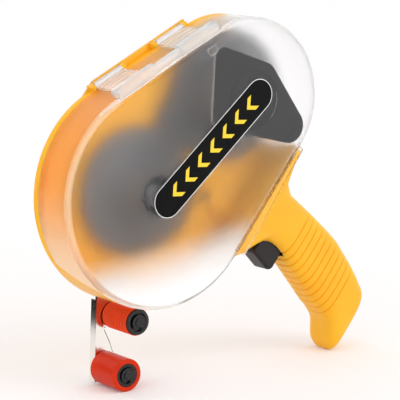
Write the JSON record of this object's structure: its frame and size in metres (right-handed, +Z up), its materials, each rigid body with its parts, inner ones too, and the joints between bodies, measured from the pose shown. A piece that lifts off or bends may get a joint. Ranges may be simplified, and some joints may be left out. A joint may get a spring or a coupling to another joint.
{
  "type": "adhesive transfer tape dispenser",
  "caption": "Hand-held dispenser for adhesive transfer tape: yellow case with pistol grip, hinged frosted cover, geared supply and take-up reels, trigger brake and red nose rollers.",
  "frame": {"origin": "middle of the part's box, on the floor under the lower roller and the toe of the grip", "axes": "+X from the rollers towards the grip, +Y from the clear cover towards the back plate, +Z up"},
  "size_m": [0.2202, 0.037, 0.2085],
  "materials": {
    "case_plastic": "smooth moulded, soft gloss",
    "clear_plastic": "clear with a fine frost",
    "label_film": "printed film",
    "black_plastic": "moulded satin",
    "trigger_plastic": "moulded satin",
    "gear_plastic": "black acetal",
    "steel": "bright",
    "red_rubber": "smooth silicone",
    "felt": "pressed felt",
    "black_rubber": "matt"
  },
  "bodies": {
    "base": {"housing": "case_plastic", "grip_cover": "case_plastic", "grip_screws": "steel", "hinge_pins": "steel", "supply_spindle": "steel", "idler_pin": "steel", "take_up_spindle": "steel", "spindle_clips": "steel", "roller_bracket": "steel", "bracket_screws": "steel", "roller_axles": "steel", "axle_clips": "steel", "trigger_pin": "steel", "trigger_spring": "steel", "brake_pin": "steel"},
    "cover": {"clear_cover": "clear_plastic", "spool_retainer": "black_plastic", "cover_label": "label_film"},
    "supply_reel": {"supply_hub": "black_plastic", "supply_gear": "gear_plastic"},
    "idler": {"idler_gear": "gear_plastic"},
    "take_up": {"take_up_gear": "gear_plastic", "clutch_felt": "felt", "take_up_spool": "black_plastic", "clutch_spring": "steel", "spring_cap": "steel"},
    "upper_roller": {"upper_roller_core": "black_plastic", "upper_roller_sleeve": "red_rubber"},
    "lower_roller": {"lower_roller_core": "black_plastic", "lower_roller_sleeve": "red_rubber"},
    "trigger": {"trigger": "trigger_plastic"},
    "brake": {"brake_lever": "case_plastic", "brake_pad": "black_rubber"}
  },
  "joints": [
    {"name": "cover_hinge", "type": "hinge", "parent": "base", "child": "cover", "pos_m": [-0.04119, 0.0142, 0.18662], "axis": [-0.8893, 0, -0.4573], "range_deg": [0, 110]},
    {"name": "supply_spin", "type": "hinge", "parent": "base", "child": "supply_reel", "pos_m": [-0.04565, 0, 0.11], "axis": [0, 1, 0], "continuous": true},
    {"name": "idler_spin", "type": "hinge", "parent": "base", "child": "idler", "pos_m": [-0.01401, 0, 0.14807], "axis": [0, 1, 0], "continuous": true},
    {"name": "take_up_spin", "type": "hinge", "parent": "base", "child": "take_up", "pos_m": [0.01635, 0, 0.161], "axis": [0, 1, 0], "continuous": true},
    {"name": "upper_roller_spin", "type": "hinge", "parent": "base", "child": "upper_roller", "pos_m": [-0.06065, 0, 0.03948], "axis": [0, 1, 0], "continuous": true},
    {"name": "lower_roller_spin", "type": "hinge", "parent": "base", "child": "lower_roller", "pos_m": [-0.06765, 0, 0.0095], "axis": [0, 1, 0], "continuous": true},
    {"name": "trigger_pull", "type": "hinge", "parent": "base", "child": "trigger", "pos_m": [0.05588, 0, 0.06669], "axis": [0, 1, 0], "range_deg": [0, 7], "stiffness_Nm_per_rad": 0.5, "springref_deg": -5.73, "deforming": ["trigger_spring"]},
    {"name": "brake_release", "type": "hinge", "parent": "base", "child": "brake", "pos_m": [0.00084, 0, 0.10333], "axis": [0, -1, 0], "range_deg": [0, 20.3]}
  ],
  "couplings": [
    {"joint": "idler_spin", "follows": "supply_spin", "ratio": -2},
    {"joint": "take_up_spin", "follows": "supply_spin", "ratio": 2},
    {"joint": "brake_release", "follows": "trigger_pull", "ratio": 2.9}
  ]
}
